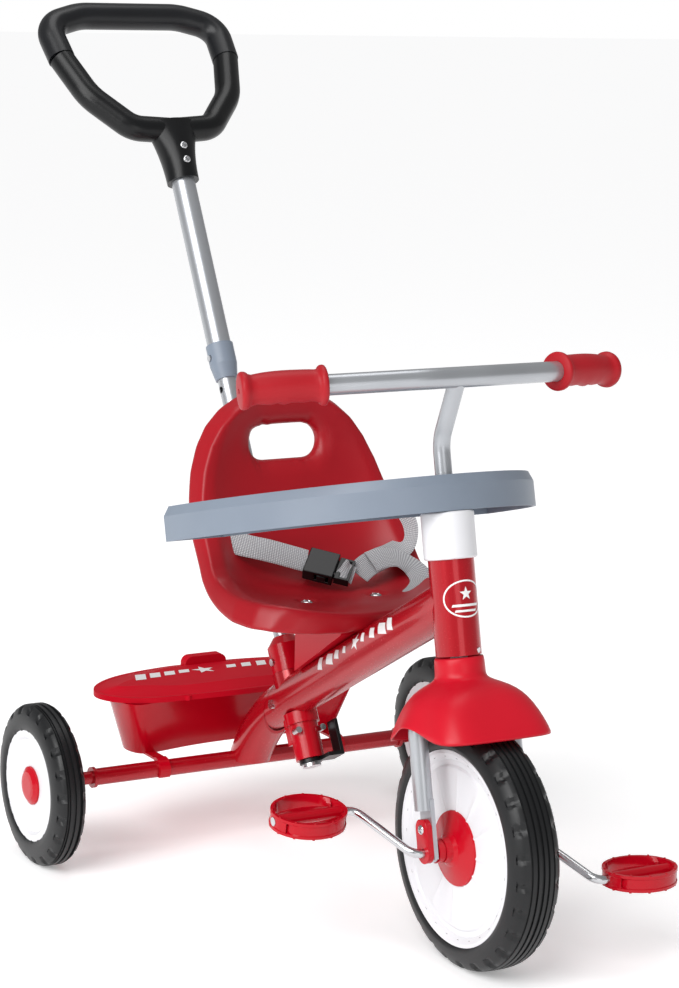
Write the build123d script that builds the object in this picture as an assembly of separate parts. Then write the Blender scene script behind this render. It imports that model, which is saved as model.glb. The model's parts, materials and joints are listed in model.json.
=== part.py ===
"""Children's steer-and-stroll tricycle: a pedal tricycle with a parent's push handle that also steers it.

Millimetres. +Z is up, -Y is the way the tricycle rides, and the rider's left hand is on +X.
The origin is on the ground, under the middle of the rear axle.
"""

from build123d import *
import os
from math import cos, radians, sin

os.makedirs("parts", exist_ok=True)

# ---- driving dimensions --------------------------------------------------------------------------
WHEELBASE = 435.0
FRONT_RADIUS = 112.5
FRONT_WIDTH = 49.6
FRONT_RIM = 89.6
REAR_RADIUS = 81.0
REAR_WIDTH = 33.4
REAR_RIM = 55.4
REAR_TRACK = 233.0  # middle of a rear tyre, from the mid plane
STEER_LEAN = 12.5  # steering axis, degrees back from upright
FRAME_SLOPE = 28.8  # main tube, degrees down towards the rear
KNUCKLE_Y = -97.6  # where the main tube and the push column cross
KNUCKLE_Z = 170.4
CRANK_LENGTH = 72.0
CRANK_ANGLE = 21.0  # right crank is forward and down by this, degrees below level
PEDAL_OUT = 135.0  # middle of a pedal, from the mid plane

MAIN_RADIUS = 21.0
WALL = 1.8
HEAD_BOTTOM = 172.0  # distances along the steering axis, from the front wheel's centre
HEAD_TOP = 265.0
CAP_TOP = 302.0
STEM_RADIUS = 7.95
BAR_RADIUS = 9.5
LEG_RADIUS = 8.75
LEG_OUT = 49.5
COLUMN_RADIUS = 18.5
LOWER_TUBE_RADIUS = 9.6
UPPER_TUBE_RADIUS = 12.4
RUNNING_GAP = 0.05  # radial clearance of a shaft in its bush
FREE_GAP = 0.4  # clearance between pieces that must not touch

# ---- frames that the tubes are drawn in ----------------------------------------------------------
AXLE_POINT = Vector(0, -WHEELBASE, FRONT_RADIUS)
KNUCKLE = Vector(0, KNUCKLE_Y, KNUCKLE_Z)
LEAN = radians(STEER_LEAN)
SLOPE = radians(FRAME_SLOPE)
STEER = Plane(AXLE_POINT, x_dir=(1, 0, 0), z_dir=(0, sin(LEAN), cos(LEAN)))
MAIN = Plane(KNUCKLE, x_dir=(1, 0, 0), z_dir=(0, -cos(SLOPE), sin(SLOPE)))
PUSH = Plane(KNUCKLE, x_dir=(1, 0, 0), z_dir=(0, sin(SLOPE), cos(SLOPE)))
FRONT_HUB = (-WHEELBASE, FRONT_RADIUS)
REAR_HUB = (0, REAR_RADIUS)
GROUND = Plane.XY

built = {}


def keep(name, *solids):
    """Store one named piece, from one or more separate solids."""
    loose = [solid for item in solids for solid in item.solids()]
    built[name] = loose[0] if len(loose) == 1 else Compound(children=loose)


def rod(plane, radius, start, end, bore=0.0, x=0.0, y=0.0):
    """A round bar or tube along a plane's normal."""
    body = Cylinder(radius, end - start, align=(Align.CENTER, Align.CENTER, Align.MIN))
    if bore:
        body -= Cylinder(bore, end - start, align=(Align.CENTER, Align.CENTER, Align.MIN))
    return plane.location * Pos(x, y, start) * body


def block(plane, low, high):
    """A box between two corners, given in a plane's own axes."""
    size = [b - a for a, b in zip(low, high)]
    middle = [(a + b) / 2 for a, b in zip(low, high)]
    return plane.location * Pos(*middle) * Box(*size)


def turned(points, hub, centre=0.0, side=1):
    """A solid of revolution about an axle that runs along X; points are (out from centre, radius)."""
    y, z = hub
    outline = [(centre + side * out, radius) for out, radius in points]
    face = Plane((0, y, z), x_dir=(1, 0, 0), z_dir=(0, -1, 0)) * make_face(Polyline(*outline, close=True))
    return revolve(face, Axis((0, y, z), (1, 0, 0)), 360)


def axle_rod(hub, radius, start, end, bore=0.0):
    """A round bar or tube along X."""
    plane = Plane((0, hub[0], hub[1]), x_dir=(0, 1, 0), z_dir=(1, 0, 0))
    return rod(plane, radius, start, end, bore)


def bent_tube(points, radii, radius, bore=0.0):
    """A tube along straight runs joined by tangent arcs."""
    path = FilletPolyline(*points, radius=radii)
    start = Plane(path @ 0, z_dir=path % 0)
    body = sweep(start * Circle(radius), path=path)
    if bore:
        body -= sweep(start * Circle(bore), path=path)
    return body


def mirrored(solid):
    return mirror(solid, Plane.YZ)


# ---- wheels --------------------------------------------------------------------------------------
def tyre(hub, radius, width, rim_radius, centre=0.0):
    """A solid tyre with rounded shoulders, rebated at both sides for the rim's lips."""
    lip = 3.0
    seat = rim_radius - 4.0
    half = width / 2
    shoulder = half * 0.62
    profile = Plane((centre, hub[0], hub[1]), x_dir=(1, 0, 0), z_dir=(0, -1, 0))
    face = Pos(0, (seat + radius) / 2) * Rectangle(width, radius - seat)
    outer = [v for v in face.vertices() if v.Y > (seat + radius) / 2]
    face = fillet(outer, shoulder)
    for side in (-1, 1):
        face -= Pos(side * half, seat + 2) * Rectangle(2 * lip, 4.6)
    ring = revolve(profile * face, Axis((0, hub[0], hub[1]), (1, 0, 0)), 360)
    return ring


def rim_half(hub, side, half, rim_radius, bore):
    """One moulded half of the front rim: a dished face, a half barrel and a half hub."""
    seat = rim_radius - 4.0
    dish = half - 4.5
    points = [
        (0.1, seat - 5), (0.1, seat - 0.05), (half - 2.95, seat - 0.05), (half - 2.95, rim_radius),
        (half - 1.8, rim_radius), (half - 1.8, rim_radius - 8), (dish, rim_radius - 13),
        (dish - 1, 38), (dish - 0.6, bore), (0.1, bore), (0.1, bore + 5), (dish - 4, bore + 5),
        (dish - 4, 38), (dish - 3.5, seat - 5),
    ]
    return turned(points, hub, 0.0, side)


HALF_FRONT = FRONT_WIDTH / 2
HUB_BORE = 6.0
HUB_FACE = HALF_FRONT - 5.0
NECK_END = 42.6
AXLE_RADIUS = 5.0
keep("front_tyre", tyre(FRONT_HUB, FRONT_RADIUS, FRONT_WIDTH, FRONT_RIM))
for side, name in ((-1, "right"), (1, "left")):
    keep(f"front_rim_{name}_half", rim_half(FRONT_HUB, side, HALF_FRONT, FRONT_RIM, HUB_BORE))
    hub_neck = [
        (HUB_FACE + 0.1, HUB_BORE), (HUB_FACE + 0.1, 34.7), (HUB_FACE + 2.2, 34.0), (HUB_FACE + 4.5, 26),
        (HUB_FACE + 7.5, 16), (HUB_FACE + 10, 12), (HUB_FACE + 16, 11), (HUB_FACE + 16, 9.6),
        (HUB_FACE + 17, 9.6), (HUB_FACE + 17, 10.6), (NECK_END, 10.6), (NECK_END, HUB_BORE),
    ]
    keep(f"front_hub_{name}", turned(hub_neck, FRONT_HUB, 0.0, side))

nuts = []
for side, name in ((-1, "right"), (1, "left")):
    centre = side * REAR_TRACK
    half = REAR_WIDTH / 2
    seat = REAR_RIM - 4.0
    keep(f"rear_tyre_{name}", tyre(REAR_HUB, REAR_RADIUS, REAR_WIDTH, REAR_RIM, centre))
    rim_points = [
        (-half + 1.8, REAR_RIM), (-half + 2.95, REAR_RIM), (-half + 2.95, seat - 0.05),
        (half - 2.95, seat - 0.05), (half - 2.95, REAR_RIM), (half - 1.8, REAR_RIM),
        (half - 1.8, REAR_RIM - 6), (half - 4.5, REAR_RIM - 9),
        (half - 5.5, 22), (half - 5.5, AXLE_RADIUS + RUNNING_GAP), (-half - 2, AXLE_RADIUS + RUNNING_GAP),
        (-half - 2, 11),
        (half - 9, 11), (half - 8.5, 22), (half - 8, REAR_RIM - 10), (-half + 1.8, REAR_RIM - 9),
    ]
    keep(f"rear_rim_{name}", turned(rim_points, REAR_HUB, centre, side))
    cap_points = [
        (half - 5.4, 12.5), (half - 5.4, 19.3), (half - 3.5, 19.0), (half - 0.5, 14), (half, 10),
        (half, 0.01), (half - 1.6, 0.01), (half - 1.6, 9.5), (half - 2.6, 12.5),
    ]
    keep(f"rear_cap_{name}", turned(cap_points, REAR_HUB, centre, side))
    nut_points = [
        (half - 5.1, AXLE_RADIUS), (half - 5.1, 8.6), (half - 2.2, 8.0), (half - 2.2, AXLE_RADIUS),
    ]
    nuts.append(turned(nut_points, REAR_HUB, centre, side))
keep("axle_nuts", *nuts)

# ---- rear axle and frame -------------------------------------------------------------------------
BEAM_RADIUS = 8.6
BEAM_HALF = 179.5
HUB_INNER = REAR_TRACK - REAR_WIDTH / 2 - 2  # inner end of a rear hub
beam = axle_rod(REAR_HUB, BEAM_RADIUS, -BEAM_HALF, BEAM_HALF, AXLE_RADIUS)
for side in (-1, 1):
    bead = sorted((side * (BEAM_HALF - 3.5), side * BEAM_HALF))
    beam += axle_rod(REAR_HUB, BEAM_RADIUS + 2, bead[0], bead[1], AXLE_RADIUS)
    sleeve = sorted((side * (BEAM_HALF - 1), side * (HUB_INNER - FREE_GAP)))
    beam += axle_rod(REAR_HUB, 6.6, sleeve[0], sleeve[1], AXLE_RADIUS)
keep("rear_axle_beam", beam)
AXLE_END = REAR_TRACK + REAR_WIDTH / 2 - 2.2
keep("rear_axle_rod", axle_rod(REAR_HUB, AXLE_RADIUS, -AXLE_END, AXLE_END))

SEAM = -31.0  # end of the main tube, behind the knuckle
seam_point = MAIN.from_local_coords(Vector(0, 0, SEAM))
seam_plane = Plane(seam_point, x_dir=(1, 0, 0), z_dir=(0, -0.957, -0.29))
horn_start = MAIN.from_local_coords(Vector(0, 0, SEAM + 12))
horn_end = Vector(0, -2, 84)
horn_path = TangentArc(horn_start, horn_end, tangent=-MAIN.z_dir)
horn_face = Plane(horn_start, z_dir=-MAIN.z_dir) * Circle(MAIN_RADIUS)
horn = sweep(horn_face, path=horn_path)
horn -= sweep(Plane(horn_start, z_dir=-MAIN.z_dir) * Circle(MAIN_RADIUS - WALL), path=horn_path)
horn -= axle_rod(REAR_HUB, BEAM_RADIUS, -40, 40)
horn -= seam_plane.location * Pos(0, 0, 40 - 0.4) * Box(120, 120, 80)
horn -= block(GROUND, (-40, -60, 40), (40, 60, REAR_RADIUS - 1))
keep("rear_frame", max(horn.solids(), key=lambda solid: solid.volume))

MAIN_END = (Vector(0, -WHEELBASE, FRONT_RADIUS) - KNUCKLE).length  # past the head tube
main = rod(MAIN, MAIN_RADIUS, SEAM - 25, MAIN_END - 10, MAIN_RADIUS - WALL)
main -= rod(STEER, MAIN_RADIUS, HEAD_BOTTOM - 60, CAP_TOP)
main -= seam_plane.location * Pos(0, 0, -40) * Box(120, 120, 80)
BOSS_TOP = 24.0  # top of the turning boss, from the knuckle
SHAFT_RADIUS = 8.35
turning_boss = rod(PUSH, 19.2, 0, BOSS_TOP, SHAFT_RADIUS + RUNNING_GAP)
main += turning_boss - rod(MAIN, MAIN_RADIUS - WALL, -60, 60)
main -= rod(PUSH, SHAFT_RADIUS + RUNNING_GAP, -40, 60)
main = max(main.solids(), key=lambda solid: solid.volume)
head = rod(STEER, MAIN_RADIUS, HEAD_BOTTOM, HEAD_TOP, MAIN_RADIUS - WALL)
head -= rod(MAIN, 12, MAIN_END - 160, MAIN_END - 48)

cap = rod(STEER, 24.3, HEAD_TOP - 6, CAP_TOP, STEM_RADIUS + RUNNING_GAP)
cap -= rod(STEER, MAIN_RADIUS, HEAD_TOP - 6, HEAD_TOP)
cap += rod(STEER, MAIN_RADIUS - WALL, HEAD_TOP - 12, HEAD_TOP, STEM_RADIUS + RUNNING_GAP)
cap = fillet(cap.edges().filter_by(GeomType.CIRCLE).group_by(SortBy.RADIUS)[-1], 2.0)
keep("headset_cap", cap)
bush = rod(STEER, MAIN_RADIUS - WALL, HEAD_BOTTOM + 0.3, HEAD_BOTTOM + 18, STEM_RADIUS + RUNNING_GAP)
keep("headset_bush", bush)
rivet_foot = STEER.from_local_coords(Vector(0, 0, HEAD_BOTTOM + 8))
rivet = Plane(rivet_foot, x_dir=(0, 0, 1), z_dir=(0.45, -0.89, 0))
rivet_pin = rod(rivet, 2.4, MAIN_RADIUS - 1, MAIN_RADIUS + 1)
keep("headset_rivet", rivet_pin)
keep("head_tube", head - rivet_pin)

# ---- parent's steering column, housed in the frame -----------------------------------------------
HOUSING_END = -66.0
HOUSING_BORE = SHAFT_RADIUS + RUNNING_GAP
housing = rod(PUSH, 14.5, HOUSING_END, -18, HOUSING_BORE)
housing += rod(PUSH, 17.0, -30, -18, HOUSING_BORE)
web = block(PUSH, (-7, -4, -46), (7, 26, -19))
housing += web - rod(PUSH, 12, HOUSING_END, 0)
housing -= rod(MAIN, MAIN_RADIUS, -80, 60)
housing -= rod(PUSH, 14.6, -24, 0)
screws = []
for x in (-13.6, 13.6):
    foot = PUSH.from_local_coords(Vector(x, -1, -38))
    screws.append(rod(Plane(foot, x_dir=(1, 0, 0), z_dir=MAIN.z_dir), 3.2, 4.6, 14.5))
keep("housing_screws", *screws)
housing = housing - screws[0] - screws[1]
keep("steering_housing", max(housing.solids(), key=lambda solid: solid.volume))
bolt_plane = Plane(MAIN.from_local_coords(Vector(0, -3, SEAM + 16)), x_dir=(0, 1, 0), z_dir=(1, 0, 0))
bolt = rod(bolt_plane, 4.6, MAIN_RADIUS - 1.2, MAIN_RADIUS + 2.4)
keep("frame_joint_bolts", bolt, mirrored(bolt))
main = main - bolt - mirrored(bolt)
keep("main_tube", main)

SOCKET_LOW = BOSS_TOP + FREE_GAP
SOCKET_SHOULDER = 52.0
SOCKET_TOP = 61.0
column = rod(PUSH, COLUMN_RADIUS, SOCKET_LOW, SOCKET_SHOULDER)
column += PUSH.location * Pos(0, 0, (SOCKET_SHOULDER + SOCKET_TOP) / 2) * Cone(
    COLUMN_RADIUS, LOWER_TUBE_RADIUS + 1.5, SOCKET_TOP - SOCKET_SHOULDER
)
column -= rod(PUSH, LOWER_TUBE_RADIUS, SOCKET_LOW, SOCKET_TOP)
button_plane = Plane(PUSH.from_local_coords(Vector(0, 0, 36)), x_dir=(0, 1, 0), z_dir=(-1, 0, 0))
column -= rod(button_plane, 4.0, 10.5, COLUMN_RADIUS + 2)
keep("column_socket", column)
keep("socket_button", rod(button_plane, 3.6, 14.2, COLUMN_RADIUS + 1.8))
LEVER_LOW = HOUSING_END - 4.5
LEVER_HIGH = HOUSING_END - FREE_GAP
shaft = rod(PUSH, SHAFT_RADIUS, LEVER_LOW - 0.1, SOCKET_TOP - 3)
keep("column_shaft", shaft + rod(PUSH, 9.5, LEVER_LOW - 3.5, LEVER_LOW - 0.05))
lever = rod(PUSH, 11.5, LEVER_LOW, LEVER_HIGH)
lever += block(PUSH, (5, -30, LEVER_LOW), (23, -6, LEVER_HIGH))
lever += block(PUSH, (19.2, -30, LEVER_LOW), (23, -14, -34))
lever -= rod(PUSH, SHAFT_RADIUS, LEVER_LOW - 1, LEVER_HIGH + 1)
keep("column_lever", lever)

# ---- steering link, inside the main tube ---------------------------------------------------------
keep("steering_link", rod(MAIN, 3.0, 30, 272, x=12.5))

# ---- push tubes and handle -----------------------------------------------------------------------
COLLAR_LOW = 338.0
COLLAR_HIGH = 376.0
TUBE_TOP = 600.0
YOKE_LOW = 560.0
COLLAR_RADIUS = 14.2
SNAP_ALONG = COLLAR_LOW + 24
HANDLE_STEP = 35.0  # between two snap holes of the lower tube


def snap_hole(along):
    """A round hole, towards -X, for a snap button."""
    place = PUSH.from_local_coords(Vector(0, 0, along))
    return rod(Plane(place, x_dir=(0, 1, 0), z_dir=(-1, 0, 0)), 3.7, 5, 20)


lower = rod(PUSH, LOWER_TUBE_RADIUS - RUNNING_GAP, SOCKET_LOW, 420, SHAFT_RADIUS + RUNNING_GAP)
for step in range(3):
    lower -= snap_hole(SNAP_ALONG - step * HANDLE_STEP)
keep("push_tube_lower", lower)
collar = rod(PUSH, COLLAR_RADIUS, COLLAR_LOW + 16, COLLAR_HIGH)
collar += PUSH.location * Pos(0, 0, COLLAR_LOW + 8) * Cone(LOWER_TUBE_RADIUS + 1.8, COLLAR_RADIUS, 16)
collar -= rod(PUSH, LOWER_TUBE_RADIUS, COLLAR_LOW - 1, COLLAR_LOW + 20)
collar -= rod(PUSH, UPPER_TUBE_RADIUS, COLLAR_LOW + 20, COLLAR_HIGH + 1)
keep("push_collar", collar - snap_hole(SNAP_ALONG))
upper = rod(PUSH, UPPER_TUBE_RADIUS, COLLAR_LOW + 20.05, TUBE_TOP, LOWER_TUBE_RADIUS)
keep("push_tube_upper", upper - snap_hole(SNAP_ALONG))
snap_plane = Plane(PUSH.from_local_coords(Vector(0, 0, SNAP_ALONG)), x_dir=(0, 1, 0), z_dir=(-1, 0, 0))
keep("collar_button", rod(snap_plane, 3.3, LOWER_TUBE_RADIUS + FREE_GAP, COLLAR_RADIUS + 1.4))

LOOP_LEAN = radians(44.5)
# the loop's local y runs up the loop
LOOP = Plane((0, 201, 716), x_dir=(1, 0, 0), z_dir=(0, -cos(LOOP_LEAN), sin(LOOP_LEAN)))
LOOP_TUBE = 13.6


def loop_points(pairs):
    return [LOOP.from_local_coords(Vector(x, u, 0)) for x, u in pairs]


arm_points = loop_points([(0, -4), (46, 0), (82, 44), (97, 96)])
right_arm = bent_tube([Vector(-p.X, p.Y, p.Z) for p in arm_points], [26, 60], LOOP_TUBE)
yoke = loft([
    PUSH.location * Pos(0, 0, YOKE_LOW) * Circle(17.0),
    PUSH.location * Pos(0, 0, YOKE_LOW + 28) * Circle(19.0),
    Plane((0, 201, 716), x_dir=(1, 0, 0), z_dir=LOOP.y_dir) * Ellipse(30, 17),
])
yoke -= rod(PUSH, UPPER_TUBE_RADIUS, YOKE_LOW - 1, TUBE_TOP)
for bar in (right_arm, mirrored(right_arm)):
    yoke += bar
grip_points = loop_points([(-97, 96.3), (-100, 143), (-58, 158), (58, 158), (100, 143), (97, 96.3)])
grip = bent_tube(grip_points, [26, 60, 60, 26], LOOP_TUBE + 0.8)
grip -= yoke
keep("handle_grip", grip)
yoke_screws = []
for along in (578, 594):
    place = PUSH.from_local_coords(Vector(0, 0, along))
    yoke_screws.append(rod(Plane(place, x_dir=(1, 0, 0), z_dir=MAIN.z_dir), 3.6, 17.2, 20.4))
keep("yoke_screws", *yoke_screws)
keep("handle_yoke", yoke - yoke_screws[0] - yoke_screws[1])

# ---- handlebar, stem and fork --------------------------------------------------------------------
BAR_Y = -381.0
BAR_Z = 531.0
CROWN = 141.0  # fork crown, along the steering axis
stem_bend = STEER.from_local_coords(Vector(0, 0, 366))
stem_foot = STEER.from_local_coords(Vector(0, 0, CROWN + 6))
stem = bent_tube([stem_foot, stem_bend, Vector(0, BAR_Y, BAR_Z)], [34], STEM_RADIUS)

GRIP_IN = 121.4
BAR_END = 190.4
bar_side = [Vector(30, BAR_Y + 0.6, BAR_Z), Vector(GRIP_IN, -356.6, 527.0), Vector(BAR_END, -336.6, 522.6)]
bar_points = [Vector(-p.X, p.Y, p.Z) for p in reversed(bar_side)] + bar_side
BAR_BENDS = [120, 90, 90, 120]
keep("handlebar", bent_tube(bar_points, BAR_BENDS, BAR_RADIUS, BAR_RADIUS - 1.5))
solid_bar = bent_tube(bar_points, BAR_BENDS, BAR_RADIUS)
stem -= solid_bar
keep("stem", max(stem.solids(), key=lambda solid: solid.volume))

grip_axis = (bar_side[2] - bar_side[1]).normalized()
GRIP_PLANE = Plane(bar_side[1], x_dir=(0, 0, 1), z_dir=grip_axis)
GRIP_LENGTH = 77.5
END_HOLE = 2.4
grip_body = rod(GRIP_PLANE, 14.2, 6, GRIP_LENGTH - 6)
grip_body += rod(GRIP_PLANE, 18.2, 0, 6.5)
grip_body += rod(GRIP_PLANE, 16.6, GRIP_LENGTH - 7, GRIP_LENGTH)
grip_body -= solid_bar
grip_body -= rod(GRIP_PLANE, END_HOLE, 70, 90)
keep("grip_left", grip_body)
keep("grip_right", mirrored(grip_body))

fork_points = [(-LEG_OUT, 0, 38), (-LEG_OUT, 0, CROWN), (LEG_OUT, 0, CROWN), (LEG_OUT, 0, 38)]
fork = bent_tube([STEER.from_local_coords(Vector(*p)) for p in fork_points], [36, 36], LEG_RADIUS)
for side in (-1, 1):
    x_low, x_high = sorted((side * 44.2, side * 48.4))
    tang = block(STEER, (x_low, -9.5, -6), (x_high, 9.5, 48))
    tang += axle_rod(FRONT_HUB, 9.5, x_low, x_high)
    fork += tang
fork -= axle_rod(FRONT_HUB, 4.0 + RUNNING_GAP, -60, 60)
fork -= rod(STEER, STEM_RADIUS, CROWN + 6, CROWN + 30)
fork += rod(STEER, 12.5, CROWN + 4, CROWN + 20, STEM_RADIUS)
keep("fork", fork)

brackets = []
dropout_screws = []
for side in (-1, 1):
    x_low, x_high = sorted((side * 48.45, side * 54.5))
    plate = block(STEER, (x_low, -9.8, 0), (x_high, 9.8, 21))
    plate += axle_rod(FRONT_HUB, 9.8, x_low, x_high)
    top_centre = STEER.from_local_coords(Vector(0, 0, 21))
    plate += axle_rod((top_centre.Y, top_centre.Z), 9.8, x_low, x_high)
    plate -= axle_rod(FRONT_HUB, 4.0 + RUNNING_GAP, -60, 60)
    plate -= rod(STEER, LEG_RADIUS + 0.05, 30, 60, x=side * LEG_OUT)
    brackets.append(plate)
    screw_low, screw_high = sorted((side * 54.55, side * 57.2))
    dropout_screws.append(axle_rod((top_centre.Y, top_centre.Z), 4.2, screw_low, screw_high))
keep("dropout_brackets", *brackets)
keep("dropout_screws", *dropout_screws)

# fender: a tent over the wheel, from a round collar down to a wide skirt
FENDER_LOW = 96.0
FENDER_NECK = 150.0


def fender_tent(grow):
    neck = RectangleRounded(46 + 2 * grow, 46 + 2 * grow, 22.9 + grow)
    top = STEER.location * Pos(0, 0, FENDER_NECK) * neck
    mid = STEER.location * Pos(0, -6, 132) * RectangleRounded(96 + 2 * grow, 84 + 2 * grow, 26)
    low = STEER.location * Pos(0, -8, FENDER_LOW) * RectangleRounded(122 + 2 * grow, 124 + 2 * grow, 26)
    return loft([top, mid, low])


fender = fender_tent(0) + rod(STEER, 23, FENDER_NECK - 1, HEAD_BOTTOM - FREE_GAP)
fender -= fender_tent(-2.6)
fender -= rod(STEER, 20.4, FENDER_LOW - 10, FENDER_NECK + 8)
fender -= rod(STEER, 13, FENDER_NECK - 10, HEAD_BOTTOM + 10)
fender -= axle_rod(FRONT_HUB, FRONT_RADIUS + 4, -31, 31)
fender -= fork
keep("fender", max(fender.solids(), key=lambda solid: solid.volume))

# ---- cranks and pedals ---------------------------------------------------------------------------
CRANK_RADIUS = 4.0
crank_y = CRANK_LENGTH * cos(radians(CRANK_ANGLE))
crank_z = CRANK_LENGTH * sin(radians(CRANK_ANGLE))
LEFT_SPINDLE = (-WHEELBASE - crank_y, FRONT_RADIUS - crank_z)
RIGHT_SPINDLE = (-WHEELBASE + crank_y, FRONT_RADIUS + crank_z)
spindle_end = PEDAL_OUT + 36
crank_points = [
    (-spindle_end, RIGHT_SPINDLE[0], RIGHT_SPINDLE[1]), (-88, RIGHT_SPINDLE[0], RIGHT_SPINDLE[1]),
    (-64, FRONT_HUB[0], FRONT_HUB[1]), (64, FRONT_HUB[0], FRONT_HUB[1]),
    (88, LEFT_SPINDLE[0], LEFT_SPINDLE[1]), (spindle_end, LEFT_SPINDLE[0], LEFT_SPINDLE[1]),
]
cranks = bent_tube([Vector(*p) for p in crank_points], [13, 13, 13, 13], CRANK_RADIUS)
keep("crank_axle", cranks + axle_rod(FRONT_HUB, HUB_BORE, -NECK_END, NECK_END))

PEDAL_LENGTH = 72.0
PEDAL_WIDTH = 62.0
PEDAL_HEIGHT = 15.0
PEDAL_TILT = 10.0  # the raised pedal hangs with its front edge down


def pedal(side, spindle, tilt):
    """An open oval pedal: a deep ring, crossed by the spindle's boss and two ribs."""
    ring = extrude(Ellipse(PEDAL_LENGTH / 2, PEDAL_WIDTH / 2), PEDAL_HEIGHT / 2, both=True)
    ring -= extrude(Ellipse(PEDAL_LENGTH / 2 - 7, PEDAL_WIDTH / 2 - 7), PEDAL_HEIGHT, both=True)
    boss = Rot(0, 90, 0) * Cylinder(7.2, PEDAL_LENGTH - 4)
    ribs = [Pos(x, 0, 0) * Box(4, PEDAL_WIDTH - 9, PEDAL_HEIGHT - 3) for x in (-16, 16)]
    whole = ring + boss + ribs
    whole -= Rot(0, 90, 0) * Cylinder(CRANK_RADIUS + RUNNING_GAP, PEDAL_LENGTH + 20)
    return Pos(side * PEDAL_OUT, spindle[0], spindle[1]) * Rot(tilt, 0, 0) * whole


keep("pedal_left", pedal(1, LEFT_SPINDLE, 0))
keep("pedal_right", pedal(-1, RIGHT_SPINDLE, PEDAL_TILT))

# ---- seat ----------------------------------------------------------------------------------------
SEAT_THICK = 7.0
BACK_Y = -54.0
seat_line = FilletPolyline(
    (-252, 277), (-232, 291), (-128, 284), (-86, 332), (BACK_Y - 2, 420), (BACK_Y, 474),
    radius=[14, 46, 90, 120],
)
seat_under = FilletPolyline(
    (BACK_Y + SEAT_THICK, 474), (BACK_Y - 2 + SEAT_THICK, 418), (-86 + SEAT_THICK, 328),
    (-124, 284 - SEAT_THICK), (-230, 291 - SEAT_THICK), (-247, 273),
    radius=[120, 90, 42, 10],
)
side_face = Plane.YZ * make_face([
    *seat_line.edges(), *Polyline((BACK_Y, 474), (BACK_Y + SEAT_THICK, 474)).edges(),
    *seat_under.edges(), *Polyline((-247, 273), (-252, 277)).edges(),
])
shell = extrude(side_face, 130, both=True)
back_side = [(117, 290), (111, 333), (102, 375), (94, 400), (77, 433), (52, 461), (26, 472), (0, 474)]
back_outline = Plane.XZ * make_face([
    *Polyline((-117, 290), (-117, 200), (117, 200), (117, 290)).edges(),
    *Spline(*back_side).edges(),
    *Spline(*[(-x, z) for x, z in back_side]).edges(),
])
shell &= extrude(back_outline, 400, both=True)
pan_side = [(117, -205), (104, -235), (62, -250), (0, -252)]
pan_outline = make_face([
    *Polyline((-117, -205), (-117, -20), (117, -20), (117, -205)).edges(),
    *Spline(*pan_side).edges(),
    *Spline(*[(-x, y) for x, y in pan_side]).edges(),
])
shell &= extrude(pan_outline, 600)
slot = SlotOverall(83, 36)
shell -= Pos(0, 0, 421) * Rot(90, 0, 0) * extrude(slot, 200, both=True)
BELT_SLOT_Z = 350
for side in (-1, 1):
    shell -= Pos(side * 84, -80, BELT_SLOT_Z) * Box(32, 80, 7)
shell -= rod(MAIN, MAIN_RADIUS + 1.2, 0, 320)

seat_screws = []
for side in (-1, 1):
    seat_screws.append(Pos(side * 38.5, -183, 289.2) * Cylinder(6.0, 2.2))
keep("seat_screws", *seat_screws)
shell = shell - seat_screws[0] - seat_screws[1]
keep("seat_shell", max(shell.solids(), key=lambda solid: solid.volume))

bracket_side = Polyline((-222, 280), (-222, 262), (-132, 206), (-132, 273), close=True)
bracket = extrude(Plane.YZ * make_face(bracket_side), 22, both=True)
bracket -= rod(MAIN, MAIN_RADIUS + FREE_GAP, -80, 320)
bracket -= shell
keep("seat_bracket", max(bracket.solids(), key=lambda solid: solid.volume))

knob_plane = Plane(MAIN.from_local_coords(Vector(0, 27, 75)), x_dir=(0, 0, 1), z_dir=(1, 0, 0))
knob = rod(knob_plane, 3.0, 22.2, 30) + rod(knob_plane, 12, 30, 41)
keep("seat_knob", knob)

# ---- harness -------------------------------------------------------------------------------------
WEB_WIDTH = 25.0
WEB_THICK = 2.0


def webbing(stations):
    """A flat strap through stations of (middle, direction across the strap)."""
    middles = [Vector(*place) for place, _ in stations]
    faces = []
    for index, (place, across) in enumerate(stations):
        before = middles[max(index - 1, 0)]
        after = middles[min(index + 1, len(middles) - 1)]
        run = (after - before).normalized()
        wide = Vector(*across)
        wide = (wide - run * wide.dot(run)).normalized()
        faces.append(Plane(Vector(*place), x_dir=wide, z_dir=run) * Rectangle(WEB_WIDTH, WEB_THICK))
    return loft(faces, ruled=True)


keep("strap_right", webbing([
    ((-84, -60, 350), (1, 0, 0)), ((-84, -88, 349), (1, 0.05, 0)), ((-70, -110, 340), (0.8, -0.3, -0.4)),
    ((-44, -121, 327), (0.2, -0.6, -0.7)), ((-20, -129, 320), (0.1, -0.6, -0.8)),
]))
keep("strap_left", webbing([
    ((84, -60, 350), (1, 0, 0)), ((90, -90, 353), (1, -0.1, 0)), ((104, -110, 346), (0.8, -0.5, 0.2)),
    ((106, -124, 332), (0.5, -0.8, 0.2)), ((90, -136, 321), (0.2, -0.8, -0.5)),
    ((64, -148, 314), (0.1, -0.7, -0.7)), ((44, -156, 309), (0.1, -0.7, -0.7)),
]))
BUCKLE = Plane((3.3, -138, 310), x_dir=(-0.787, 0.487, 0.377), z_dir=(-0.2, -0.5, 0.84))
buckle_body = block(BUCKLE, (-14, -17, -6), (16, 17, 6)) - block(BUCKLE, (-16, -11.5, -3.4), (12, 11.5, 3.4))
buckle_body -= block(BUCKLE, (-10, -20, -3.4), (4, 20, 3.4))
keep("buckle_socket", buckle_body)
plug = block(BUCKLE, (-30, -15, -4), (-15, 15, 4)) - block(BUCKLE, (-27, -12, -5), (-20, 12, 5))
plug += block(BUCKLE, (-15.5, -4, -2.6), (8, 4, 2.6))
keep("buckle_plug", plug)
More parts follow.
